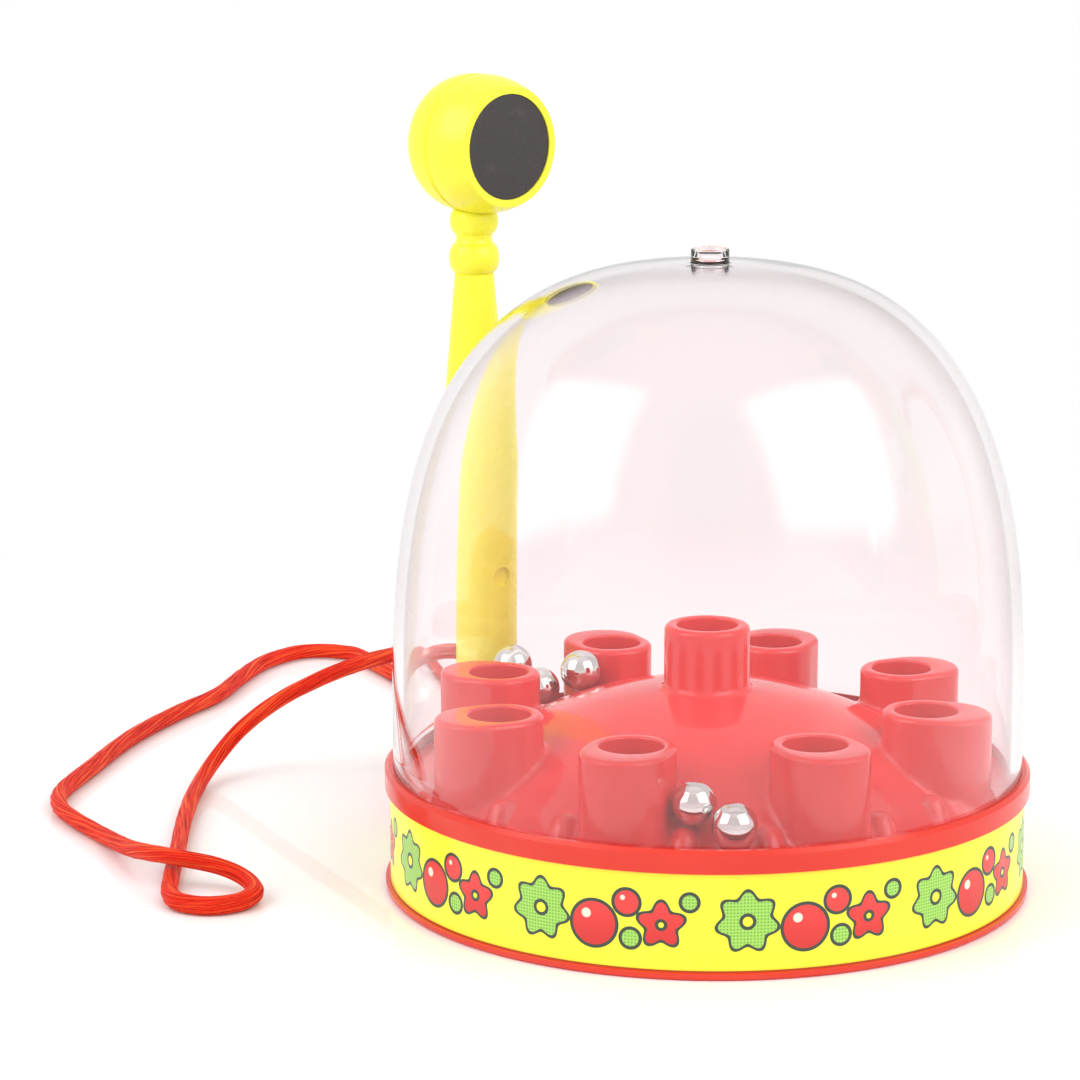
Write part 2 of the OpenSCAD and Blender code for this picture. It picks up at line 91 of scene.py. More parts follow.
# Tether cord: the middle line from the grip to the socket, in millimetres
CORD_D = 3.5
CORD_ROUTE = [
    (-53.2, 51.8, 31.1), (-57, 52.8, 30.8), (-63, 56.8, 28.8), (-71, 63, 25.3),
    (-80, 67.3, 20.7), (-89, 69.7, 15.3), (-96.5, 69, 9.4), (-101.2, 63.7, 4.3),
    (-103.2, 52, 1.8), (-102.7, 31, 1.8), (-100.9, 8, 1.8), (-99.6, -9, 1.8),
    (-98.4, -19.1, 1.8), (-95.7, -24.5, 1.8), (-90.1, -26.4, 1.8), (-84.7, -23.7, 1.8),
    (-82.8, -18.1, 2.1), (-85.6, -12.9, 3.1), (-90.8, -10.5, 4.5), (-98.5, -9.4, 5.7),
    (-104.4, -4.6, 5.1), (-109.6, 4, 3.4), (-116.4, 16.6, 1.9), (-123.6, 27.4, 1.8),
    (-128.6, 37, 1.8), (-130.1, 48, 1.8), (-127.6, 64, 1.8), (-122.8, 90, 1.8),
    (-116, 111, 1.8), (-109.2, 127.5, 1.8), (-105.8, 145, 1.8), (-102, 159, 1.8),
    (-95.2, 168.6, 1.8), (-86.5, 169.4, 1.8), (-78.6, 161.6, 1.8), (-60.5, 122, 1.8),
    (-60.5, 80, 5.6), (-61, 68, 11.8), (-57.5, 61, 15), (-53, 56.7, 15),
]
CORD_STEP = 0.45
CORD_SIDES = 60
CORD_YARNS = 11
CORD_LAY = 115.0
CORD_GROOVE = 0.26
CORD_FLAT = 0.1
CORD_WANDER = 0.6
CORD_LEAN = 0.9
CORD_UNEVEN = 0.02
CORD_CLEAR = 0.05


def spline(points, parts):
    """The same smooth curve through the points as the cord's solid follows."""
    ends = [points[0]] + points + [points[-1]]
    line = []
    for i in range(len(points) - 1):
        a, b, c, d = (Vector(p) for p in ends[i:i + 4])
        for k in range(parts):
            t = k / parts
            line.append(0.5 * (2 * b + (c - a) * t + (2 * a - 5 * b + 4 * c - d) * t * t
                               + (3 * b - a - 3 * c + d) * t * t * t))
    line.append(Vector(points[-1]))
    low = CORD_D / 2 + CORD_CLEAR
    return [Vector((p.x, p.y, max(p.z, low))) for p in line]


def evenly(line, step):
    """Points along a line at even distances."""
    total = sum((b - a).length for a, b in zip(line, line[1:]))
    count = max(2, round(total / step))
    out, i, walked = [line[0]], 0, 0.0
    for k in range(1, count):
        goal = total * k / count
        while walked + (line[i + 1] - line[i]).length < goal:
            walked += (line[i + 1] - line[i]).length
            i += 1
        leg = line[i + 1] - line[i]
        out.append(line[i] + leg * ((goal - walked) / leg.length))
    out.append(line[-1])
    return out, total


def carried_frames(line):
    """A direction across the line at each point, carried along it without twist."""
    across, found = None, []
    for i in range(len(line)):
        ahead = (line[min(i + 1, len(line) - 1)] - line[max(i - 1, 0)]).normalized()
        if across is None:
            across = ahead.cross(Vector((0, 0, 1))).normalized()
        across = (across - ahead * across.dot(ahead)).normalized()
        found.append((across.copy(), ahead.cross(across)))
    return found


def make_cord():
    """A soft twisted satin cord: yarns wound round it, slightly flattened, its lay a little uneven."""
    line, total = evenly(spline(CORD_ROUTE, 24), CORD_STEP)
    frames = carried_frames(line)
    verts, faces, uvs = [], [], []
    for i, (p, (u, v)) in enumerate(zip(line, frames)):
        along = total * i / (len(line) - 1)
        wander = noise.noise(Vector((along * 0.05, 3.1, 0.7)))
        twist = 2 * math.pi * along / CORD_LAY + CORD_WANDER * wander
        lean = CORD_LEAN * noise.noise(Vector((along * 0.03, 8.3, 1.9)))
        for k in range(CORD_SIDES):
            a = 2 * math.pi * k / CORD_SIDES
            ridge = abs(math.sin(0.5 * CORD_YARNS * (a + twist)))
            r = CORD_D / 2 - CORD_GROOVE * (1 - ridge) ** 1.6
            r *= 1 - CORD_FLAT * (0.5 - 0.5 * math.cos(2 * (a + lean)))
            r *= 1 + CORD_UNEVEN * noise.noise(Vector((along * 0.35, 2 * math.cos(a), 2 * math.sin(a))))
            q = p + (u * math.cos(a) + v * math.sin(a)) * min(r, CORD_D / 2)
            verts.append(q * MM)
            uvs.append((along, k / CORD_SIDES + twist / (2 * math.pi)))
    n = CORD_SIDES
    for i in range(len(line) - 1):
        for k in range(n):
            a, b = i * n + k, i * n + (k + 1) % n
            faces.append((a, a + n, b + n, b))
    faces.append(tuple(range(n)))
    faces.append(tuple(reversed(range((len(line) - 1) * n, len(line) * n))))
    mesh = bpy.data.meshes.new("cord")
    mesh.from_pydata(verts, [], faces)
    along_name = mesh.attributes.new("lay", "FLOAT2", "POINT")
    along_name.data.foreach_set("vector", [x for uv in uvs for x in uv])
    mesh.validate()
    cord = new_object("cord", mesh)
    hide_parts("tether_cord")
    return cord


cord = make_cord()


# Game deck, in millimetres: what the frame gives, and what the deck's own shape adds
def frame_mm(node):
    low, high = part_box(node)
    return low / MM, high / MM


dome_low, dome_high = frame_mm("dome")
_, deck_high = frame_mm("play_deck")
SEAT_Z = dome_low.z
DOME_R = dome_high.x
DECK_R = deck_high.x
FLANGE_T = 1.2
DECK_T = 2.0
DOME_WALL = 2.0
NUB_H, NUB_R = 2.6, 3.5
DOME_TOP_Z = dome_high.z - NUB_H
DOME_STRAIGHT = 10.0
DOME_POWER = 2.74
DOME_IN_R = DOME_R - DOME_WALL
MOUND_H = 16.4
TROUGH_W = 8.4
MOUND_R = DOME_IN_R - TROUGH_W
MOUND_BALL_R = (MOUND_R ** 2 + MOUND_H ** 2) / (2 * MOUND_H)
MOUND_BALL_Z = SEAT_Z + MOUND_H - MOUND_BALL_R
RING_CUPS = 8
RING_TURN = 26.9
RING_STEP = 360 / RING_CUPS
CUP_BORE_R = 5.65
CUP_R = CUP_BORE_R + 2.3
CUP_REACH = 3.8
RING_R = DOME_IN_R - 2.9 - CUP_REACH - CUP_R
RING_RIM_Z = SEAT_Z + 15.4
CENTRE_RIM_Z = SEAT_Z + MOUND_H + 11.6
CUP_DEPTH = 13.6
CUP_LIP = 1.0
BORE_LIP = 0.45
CUP_FILLET = 1.3
BUMP_R = 2.7
BUMP_RING_R = DOME_IN_R - 9.4
BUMP_TURN = 9.0
BUMP_SKIRT = 1.5
BUMP_DROP = 0.6
MOUND_MELT = 1.6
BUMP_MELT = 0.5
DECK_EDGE = 0.15
DECK_BODY_R, DECK_BODY_LOW_R = 56.6, 56.55
BORE_FLOOR_ROUND = 0.8


def polar(r, turn):
    """Point at distance r from the axis, turned from the front towards the right."""
    a = math.radians(turn)
    return Vector((r * math.sin(a), -r * math.cos(a)))


def melt(a, b, width):
    """The higher of two heights, with the crease between them rounded off."""
    h = max(width - abs(a - b), 0) / width
    return max(a, b) + h * h * width / 4


cups = [(Vector((0, 0)), Vector((1, 0)), 0.0, CENTRE_RIM_Z)]
for cup_index in range(RING_CUPS):
    cup_turn = RING_TURN + cup_index * RING_STEP
    cups.append((polar(RING_R, cup_turn), polar(1, cup_turn), CUP_REACH, RING_RIM_Z))
bumps = [polar(BUMP_RING_R, RING_TURN + (k + 0.5) * RING_STEP + side * BUMP_TURN)
         for k in range(RING_CUPS) for side in (-1, 1)]


def cup_distance(cup, p):
    """Distance from a cup's outside wall, negative inside it."""
    centre, out, reach, _ = cup
    x = min(max((p - centre).dot(out), 0), reach)
    return (p - centre - out * x).length - CUP_R


def deck_height(p):
    r = p.length
    mound = MOUND_BALL_Z + math.sqrt(max(MOUND_BALL_R ** 2 - r * r, 0))
    z = melt(SEAT_Z, mound, MOUND_MELT)
    for centre in bumps:
        d = (p - centre).length
        if d < BUMP_R + BUMP_SKIRT:
            bump = SEAT_Z + math.sqrt(max(BUMP_R ** 2 - d * d, 0)) - (BUMP_DROP if d >= BUMP_R else 0)
            z = melt(z, bump, BUMP_MELT)
    for cup in cups:
        d = max(cup_distance(cup, p), 0)
        if d < CUP_FILLET:
            z += CUP_FILLET - math.sqrt(CUP_FILLET ** 2 - (CUP_FILLET - d) ** 2)
    return z


def cup_outline(cup, offset, count):
    """Points round a cup at a distance outside its wall."""
    centre, out, reach, _ = cup
    side = Vector((-out.y, out.x))
    points = []
    r = CUP_R + offset
    half = count // 2
    for k in range(half + 1):
        a = -math.pi / 2 + math.pi * k / half
        points.append(centre + out * (reach + r * math.cos(a)) + side * (r * math.sin(a)))
    straight = 4 if reach else 1
    for k in range(1, straight):
        points.append(centre + out * (reach * (1 - k / straight)) + side * r)
    for k in range(half + 1 if reach else half):
        a = math.pi / 2 + math.pi * k / half
        if reach or k:
            points.append(centre + out * (r * math.cos(a)) + side * (r * math.sin(a)))
    for k in range(1, straight):
        points.append(centre + out * (reach * k / straight) - side * r)
    return points


CUP_SIDES = 72
DECK_RING = 256
DECK_GRID = 1.3
FILLET_RINGS = (0.02, 0.08, 0.2, 0.4, 0.7, 1.0, 1.3, 1.9)
BUMP_RINGS = (0.3, 0.6, 0.85, 0.96, 1.02, 1.12, 1.35)


def deck_points():
    """Points in plan for the deck's top, with the outlines that its triangles keep."""
    points, edges = [], []

    def loop(outline):
        first = len(points)
        points.extend(outline)
        edges.extend((first + k, first + (k + 1) % len(outline)) for k in range(len(outline)))

    loop([polar(DECK_R, 360 * k / DECK_RING) for k in range(DECK_RING)])
    for cup in cups:
        loop(cup_outline(cup, 0, CUP_SIDES))
    loose = []
    for cup in cups:
        for d in FILLET_RINGS:
            loose += cup_outline(cup, d, CUP_SIDES if d < 1 else CUP_SIDES // 2)
    for centre in bumps:
        loose.append(centre)
        for share in BUMP_RINGS:
            count = 10 if share < 0.5 else 32
            loose += [centre + polar(BUMP_R * share, 360 * k / count) for k in range(count)]
    for ring in range(1, int(DECK_R / DECK_GRID) + 1):
        r = DECK_R * ring / (int(DECK_R / DECK_GRID) + 1)
        count = max(6, round(2 * math.pi * r / DECK_GRID))
        loose += [polar(r, 360 * (k + 0.5 * (ring % 2)) / count) for k in range(count)]
    taken = set()
    for p in loose:
        if p.length > DECK_R - 0.3:
            continue
        if min(cup_distance(cup, p) for cup in cups) < 0.01:
            continue
        gap = 0.06 if min(cup_distance(cup, p) for cup in cups) < 0.3 else 0.28
        cell = (round(p.x / gap), round(p.y / gap), gap)
        if cell in taken:
            continue
        taken.add(cell)
        points.append(p)
    return points, edges


def make_deck():
    """The moulded deck: mound, trough, bumps and nine cups with rounded lips, in one closed skin."""
    points, edges = deck_points()
    verts2, _, faces2, origins, _, _ = geometry.delaunay_2d_cdt(points, edges, [], 0, 1e-5)
    where = {}
    for new, olds in enumerate(origins):
        for old in olds:
            where[old] = new
    verts = [Vector((p.x, p.y, deck_height(p))) for p in verts2]
    faces = []
    for face in faces2:
        middle = sum((verts2[i] for i in face), Vector((0, 0))) / len(face)
        if min(cup_distance(cup, middle) for cup in cups) > -0.002:
            faces.append(tuple(face))
    start = DECK_RING
    for cup in cups:
        count = len(cup_outline(cup, 0, CUP_SIDES))
        ring = [where[start + k] for k in range(count)]
        start += count
        add_cup(verts, faces, ring, cup)
    rim = [where[k] for k in range(DECK_RING)]
    low_z = SEAT_Z - FLANGE_T
    ring = rim
    for r, z in under_profile(low_z):
        first = len(verts)
        for k in range(DECK_RING):
            p = polar(r, 360 * k / DECK_RING)
            verts.append(Vector((p.x, p.y, z)))
        new_ring = list(range(first, first + DECK_RING))
        join_rings(faces, ring, new_ring, flip=True)
        ring = new_ring
    middle = len(verts)
    verts.append(Vector((0, 0, SEAT_Z + MOUND_H - DECK_T)))
    for k in range(DECK_RING):
        faces.append((ring[(k + 1) % DECK_RING], ring[k], middle))
    mesh = bpy.data.meshes.new("deck_moulding")
    mesh.from_pydata([v * MM for v in verts], [], faces)
    tidy_mesh(mesh)
    deck = new_object("deck_moulding", mesh)
    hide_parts("play_deck")
    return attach(deck, "base")


def under_profile(low_z):
    """Half-section of the deck's underside, from its rim to the axis."""
    under_r = MOUND_BALL_R - DECK_T
    body_z = SEAT_Z - DECK_T
    inner = math.sqrt(under_r ** 2 - (body_z - MOUND_BALL_Z) ** 2)
    line = [(DECK_R, low_z + DECK_EDGE), (DECK_R - DECK_EDGE, low_z), (DECK_BODY_R, low_z),
            (DECK_BODY_LOW_R, body_z), (inner, body_z)]
    steps = 14
    for k in range(1, steps):
        r = inner * (1 - k / steps)
        line.append((r, MOUND_BALL_Z + math.sqrt(under_r ** 2 - r * r)))
    return line


def join_rings(faces, a, b, flip=False):
    n = len(a)
    for k in range(n):
        quad = (a[k], a[(k + 1) % n], b[(k + 1) % n], b[k])
        faces.append(tuple(reversed(quad)) if flip else quad)


def add_cup(verts, faces, ring, cup):
    """A cup's wall, rounded lip, bore and bore floor, standing on a ring of the deck's top."""
    centre, out, reach, rim_z = cup
    side = Vector((-out.y, out.x))
    plan = [Vector((verts[i].x, verts[i].y)) for i in ring]
    feet = [verts[i].z for i in ring]
    facing = []
    for p in plan:
        x = min(max((p - centre).dot(out), 0), reach)
        facing.append((p - centre - out * x).normalized())
    turns = [math.atan2((p - centre).dot(side), (p - centre).dot(out)) for p in plan]
    rows = []
    for share in (0.35, 0.7, 1.0):
        rows.append([(plan[i], feet[i] + (rim_z - CUP_LIP - feet[i]) * share)
                     for i in range(len(ring))])
    for k in range(1, 8):
        a = math.pi / 2 * k / 7
        inset, rise = CUP_LIP * (1 - math.cos(a)), CUP_LIP * math.sin(a)
        rows.append([(plan[i] - facing[i] * inset, rim_z - CUP_LIP + rise)
                     for i in range(len(ring))])

    def bore_row(r, z):
        return [(centre + out * (r * math.cos(t)) + side * (r * math.sin(t)), z) for t in turns]

    for k in range(6):
        a = math.pi / 2 * k / 5
        rows.append(bore_row(CUP_BORE_R + BORE_LIP * (1 - math.sin(a)),
                             rim_z - BORE_LIP * (1 - math.cos(a))))
    floor_z = rim_z - CUP_DEPTH
    rows.append(bore_row(CUP_BORE_R, rim_z - CUP_DEPTH / 2))
    for k in range(6):
        a = math.pi / 2 * k / 5
        rows.append(bore_row(CUP_BORE_R - BORE_FLOOR_ROUND * (1 - math.cos(a)),
                             floor_z + BORE_FLOOR_ROUND * (1 - math.sin(a))))
    rows.append(bore_row(CUP_BORE_R * 0.45, floor_z))
    lower = ring
    for row in rows:
        first = len(verts)
        verts.extend(Vector((p.x, p.y, z)) for p, z in row)
        upper = list(range(first, first + len(row)))
        join_rings(faces, lower, upper)
        lower = upper
    middle = len(verts)
    verts.append(Vector((centre.x, centre.y, floor_z)))
    for k in range(len(lower)):
        faces.append((lower[k], lower[(k + 1) % len(lower)], middle))


def tidy_mesh(mesh):
    """Welds doubled points, drops loose ones and turns every face outwards."""
    work = bmesh.new()
    work.from_mesh(mesh)
    bmesh.ops.remove_doubles(work, verts=work.verts, dist=1e-7)
    loose = [v for v in work.verts if not v.link_faces]
    bmesh.ops.delete(work, geom=loose, context="VERTS")
    bmesh.ops.recalc_face_normals(work, faces=work.faces)
    work.to_mesh(mesh)
    work.free()


def mark_inner_wall(piece):
    """Marks the dome's points on the inner wall, for its material's painted dark edge line."""
    flag = piece.data.attributes.new("inner_wall", "FLOAT", "POINT")
    round_z = SEAT_Z + DOME_STRAIGHT
    for point, mark in zip(piece.data.vertices, flag.data):
        r = math.hypot(point.co.x, point.co.y) / MM
        share = min(max((point.co.z / MM - round_z) / (DOME_TOP_Z - round_z), 0), 1)
        outside = DOME_R * (1 - share ** DOME_POWER) ** (1 / DOME_POWER)
        mark.value = 1.0 if outside - r > DOME_WALL / 2 else 0.0


def lathe(name, profile, sides):
    """A closed solid of revolution from half-section points (r, z) in order, in millimetres."""
    verts, rings = [], []
    for r, z in profile:
        if r < 1e-6:
            rings.append([len(verts)])
            verts.append(Vector((0, 0, z)) * MM)
            continue
        first = len(verts)
        for k in range(sides):
            p = polar(r, 360 * k / sides)
            verts.append(Vector((p.x, p.y, z)) * MM)
        rings.append(list(range(first, first + sides)))
    faces = []
    for a, b in zip(rings, rings[1:] + rings[:1]):
        if len(a) == 1 and len(b) == 1:
            continue
        for k in range(sides):
            m = (k + 1) % sides
            quad = (a[k % len(a)], a[m % len(a)], b[m % len(b)], b[k % len(b)])
            corners = []
            for i in quad:
                if i not in corners:
                    corners.append(i)
            faces.append(tuple(corners))
    mesh = bpy.data.meshes.new(name)
    mesh.from_pydata(verts, [], faces)
    tidy_mesh(mesh)
    return new_object(name, mesh)


def dome_line(r, top, steps, power):
    """Half-section of the dome's wall from the foot's height up to the axis."""
    round_z = SEAT_Z + DOME_STRAIGHT
    line = []
    for k in range(steps + 1):
        a = math.pi / 2 * k / steps
        line.append((r * math.cos(a) ** (2 / power) if k < steps else 0.0,
                     round_z + (top - round_z) * math.sin(a) ** (2 / power)))
    return line


def make_dome():
    """The clear dome: one moulded wall with a round-edged foot and the gate's nub on top."""
    outer = dome_line(DOME_R, DOME_TOP_Z, 96, DOME_POWER)
    inner = dome_line(DOME_IN_R, DOME_TOP_Z - DOME_WALL, 96, DOME_POWER)
    edge = 0.3
    foot_out = [(DOME_R - edge, SEAT_Z), (DOME_R - edge * 0.3, SEAT_Z + edge * 0.3),
                (DOME_R, SEAT_Z + edge), (DOME_R, SEAT_Z + DOME_STRAIGHT / 2)]
    neck = 0.35
    nub_edge = 0.28
    nub_wall = 0.75
    nub_floor = 0.45
    outer = [p for p in outer if p[0] > NUB_R + neck]
    nub = []
    for k in range(6):
        a = math.pi / 2 * k / 5
        nub.append((NUB_R + neck * (1 - math.sin(a)), DOME_TOP_Z + neck * (1 - math.cos(a)) - 0.02))
    for k in range(6):
        a = math.pi / 2 * k / 5
        nub.append((NUB_R - nub_edge * (1 - math.cos(a)),
                    DOME_TOP_Z + NUB_H - nub_edge * (1 - math.sin(a))))
    lip_r = NUB_R - nub_wall
    nub += [(lip_r + 0.15, DOME_TOP_Z + NUB_H), (lip_r, DOME_TOP_Z + NUB_H - 0.15),
            (lip_r, DOME_TOP_Z + nub_floor + 0.3), (lip_r - 0.3, DOME_TOP_Z + nub_floor),
            (0, DOME_TOP_Z + nub_floor - 0.1)]
    foot_in = [(DOME_IN_R, SEAT_Z + DOME_STRAIGHT / 2), (DOME_IN_R, SEAT_Z + edge),
               (DOME_IN_R + edge * 0.3, SEAT_Z + edge * 0.3), (DOME_IN_R + edge, SEAT_Z)]
    profile = foot_out + outer + nub + list(reversed(inner)) + foot_in
    dome = lathe("clear_dome", profile, 256)
    mark_inner_wall(dome)
    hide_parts("dome")
    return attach(dome, "base")


make_deck()
make_dome()


# Materials
def new_material(name):
    material = bpy.data.materials.new(name)
    material.use_nodes = True
    tree = material.node_tree
    tree.nodes.clear()
    return material, tree


class Maker:
    """Short calls that add and join shader nodes in one material."""

    def __init__(self, tree):
        self.tree = tree

    def put(self, socket, value):
        if isinstance(value, bpy.types.NodeSocket):
            self.tree.links.new(value, socket)
        elif isinstance(value, (tuple, list)) and len(value) == 3 and len(socket.default_value) == 4:
            socket.default_value = (*value, 1.0)
        else:
            socket.default_value = value

    def node(self, kind, values=None, **settings):
        made = self.tree.nodes.new(kind)
        for key, value in settings.items():
            setattr(made, key, value)
        for key, value in (values or {}).items():
            self.put(made.inputs[key], value)
        return made

    def math(self, operation, a, b=0.0, c=0.0):
        made = self.node("ShaderNodeMath", operation=operation)
        self.put(made.inputs[0], a)
        self.put(made.inputs[1], b)
        self.put(made.inputs[2], c)
        return made.outputs[0]

    def ramp(self, value, low, high, to_low=0.0, to_high=1.0):
        made = self.node("ShaderNodeMapRange", clamp=True, interpolation_type="SMOOTHSTEP")
        for key, v in zip(("Value", "From Min", "From Max", "To Min", "To Max"),
                          (value, low, high, to_low, to_high)):
            self.put(made.inputs[key], v)
        return made.outputs["Result"]

    def mix(self, share, a, b):
        made = self.node("ShaderNodeMix", data_type="RGBA")
        self.put(made.inputs["Factor"], share)
        self.put(made.inputs["A"], a)
        self.put(made.inputs["B"], b)
        return made.outputs["Result"]

    def noise(self, scale, detail=2.0, roughness=0.5, vector=None):
        made = self.node("ShaderNodeTexNoise",
                         {"Scale": scale, "Detail": detail, "Roughness": roughness})
        self.put(made.inputs["Vector"], vector or self.place())
        return made.outputs["Fac"]

    def place(self):
        return self.node("ShaderNodeTexCoord").outputs["Object"]

    def bump(self, height, strength, distance, normal=None):
        made = self.node("ShaderNodeBump",
                         {"Strength": strength, "Distance": distance, "Height": height})
        if normal is not None:
            self.put(made.inputs["Normal"], normal)
        return made.outputs["Normal"]

    def finish(self, shader):
        made = self.node("ShaderNodeOutputMaterial")
        self.put(made.inputs["Surface"], shader)


def plastic(name, colour, deep, roughness):
    """Moulded plastic: slight clouding of the colour, soft flow ripples and fine handling marks."""
    material, tree = new_material(name)
    m = Maker(tree)
    cloud = m.noise(45.0, 3.0)
    ripple = m.noise(160.0, 2.0)
    grain = m.noise(2600.0, 2.0, 0.6)
    tone = m.mix(m.ramp(cloud, 0.3, 0.7), colour, deep)
    gloss = m.ramp(m.noise(260.0, 3.0, 0.6), 0.35, 0.75, roughness * 0.85, roughness * 1.2)
    shape = m.bump(ripple, 0.04, 0.0003)
    shape = m.bump(grain, 0.02, 0.00002, shape)
    shader = m.node("ShaderNodeBsdfPrincipled",
                    {"Base Color": tone, "Roughness": gloss, "IOR": 1.5, "Normal": shape})
    m.finish(shader.outputs[0])
    return material


def clear_plastic():
    """Clear plastic that lamps shine through, tinted at grazing angles, with faint scuffs. Its pink,
    stronger low down, is a painted reflection of the red base and deck; the inner wall's dark grazing
    edge is a painted dark line.
    """
    material, tree = new_material("clear_plastic")
    m = Maker(tree)
    wave = m.noise(28.0, 1.5)
    scuff = m.noise(900.0, 5.0, 0.7)
    gloss = m.ramp(scuff, 0.62, 0.8, 0.004, 0.09)
    grazing = m.node("ShaderNodeLayerWeight", {"Blend": 0.5}).outputs["Facing"]
    inner = m.node("ShaderNodeAttribute", attribute_name="inner_wall").outputs["Fac"]
    high = m.node("ShaderNodeSeparateXYZ")
    m.put(high.inputs[0], m.place())
    # Painted reflection of the red base and deck: the glass is pinker low down.
    low = m.ramp(high.outputs[2], (SEAT_Z + 5) * MM, (SEAT_Z + 60) * MM)
    tint_and_painted_light = m.mix(low, (1.0, 0.925, 0.934), (1.0, 0.966, 0.97))
    outside = m.mix(m.ramp(grazing, 0.45, 1.0), tint_and_painted_light, (0.97, 0.83, 0.85))
    # Painted dark line: the inner wall turns dark where it is seen edge-on.
    inside = m.mix(m.ramp(grazing, 0.6, 1.0), tint_and_painted_light, (0.3, 0.2, 0.24))
    tint_and_painted_light = m.mix(inner, outside, inside)
    nub = m.ramp(high.outputs[2], (DOME_TOP_Z - 0.4) * MM, (DOME_TOP_Z + 0.4) * MM)
    tint_and_painted_light = m.mix(nub, tint_and_painted_light, (1.0, 0.985, 0.99))
    glass = m.node("ShaderNodeBsdfPrincipled",
                   {"Base Color": tint_and_painted_light, "Roughness": gloss, "IOR": 1.49,
                    "Transmission Weight": 1.0, "Normal": m.bump(wave, 0.05, 0.0008)})
    through = m.node("ShaderNodeBsdfTransparent", {"Color": (0.93, 0.92, 0.92)})
    light = m.node("ShaderNodeLightPath")
    both = m.node("ShaderNodeMixShader")
    m.put(both.inputs[0], light.outputs["Is Shadow Ray"])
    m.put(both.inputs[1], glass.outputs[0])
    m.put(both.inputs[2], through.outputs[0])
    m.finish(both.outputs[0])
    return material


def steel(name, colour, roughness, scratches):
    """Bright metal with fine wear marks."""
    material, tree = new_material(name)
    m = Maker(tree)
    wear = m.noise(1500.0, 4.0, 0.6)
    gloss = m.ramp(wear, 0.4, 0.8, roughness, roughness + scratches)
    tone = m.mix(m.noise(300.0), colour, tuple(c * 0.93 for c in colour))
    shader = m.node("ShaderNodeBsdfPrincipled",
                    {"Base Color": tone, "Metallic": 1.0, "Roughness": gloss,
                     "Normal": m.bump(wear, 0.03, 0.00003)})
    m.finish(shader.outputs[0])
    return material


def ferrite():
    """Matt dark magnet: sintered grain and a few lighter rubs."""
    material, tree = new_material("ferrite")
    m = Maker(tree)
    grain = m.noise(3200.0, 4.0, 0.7)
    rub = m.ramp(m.noise(260.0, 3.0, 0.6), 0.55, 0.8)
    tone = m.mix(rub, (0.046, 0.039, 0.039), (0.068, 0.058, 0.057))
    tone = m.mix(m.ramp(grain, 0.35, 0.65, 0.0, 0.35), tone, (0.03, 0.025, 0.025))
    shader = m.node("ShaderNodeBsdfPrincipled",
                    {"Base Color": tone, "Roughness": m.ramp(grain, 0.3, 0.7, 0.5, 0.72),
                     "Normal": m.bump(grain, 0.35, 0.00008)})
    m.finish(shader.outputs[0])
    return material


def cord_fibre():
    """Satin yarn: fine fibres along the lay, with patches of painted orange highlight and painted shade
    in the gaps between strands.
    """
    material, tree = new_material("cord_fibre")
    m = Maker(tree)
    lay = m.node("ShaderNodeAttribute", attribute_name="lay").outputs["Vector"]
    parts = m.node("ShaderNodeSeparateXYZ")
    m.put(parts.inputs[0], lay)
    along, round_it = parts.outputs[0], parts.outputs[1]
    stretched = m.node("ShaderNodeCombineXYZ",
                       {"X": m.math("MULTIPLY", along, 0.11), "Y": m.math("MULTIPLY", round_it, 58.0)})
    fibre = m.noise(1.0, 4.0, 0.7, stretched.outputs[0])
    strand = m.node("ShaderNodeCombineXYZ",
                    {"X": m.math("MULTIPLY", along, 0.05), "Y": m.math("MULTIPLY", round_it, 19.0)})
    painted_glint_and_shade = m.noise(1.0, 2.0, 0.5, strand.outputs[0])
    tone = m.mix(m.ramp(fibre, 0.38, 0.62), (0.52, 0.007, 0.004), (1.0, 0.04, 0.014))
    # Painted highlight: orange glints where the strand noise is high.
    tone = m.mix(m.ramp(painted_glint_and_shade, 0.5, 0.66), tone, (1.0, 0.13, 0.035))
    # Painted shade: dark gaps between strands where the strand noise is low.
    tone = m.mix(m.ramp(painted_glint_and_shade, 0.36, 0.28), tone, (0.4, 0.004, 0.004))
    shader = m.node("ShaderNodeBsdfPrincipled",
                    {"Base Color": tone, "Roughness": m.ramp(fibre, 0.3, 0.7, 0.6, 0.42),
                     "Specular IOR Level": 0.25, "Specular Tint": (1.0, 0.5, 0.3),
                     "Normal": m.bump(fibre, 0.9, 0.0003)})
    m.finish(shader.outputs[0])
    return material


# Label, in millimetres
label_low, label_high = frame_mm("label_band")
LABEL_R = label_high.x
LABEL_CELLS = 10


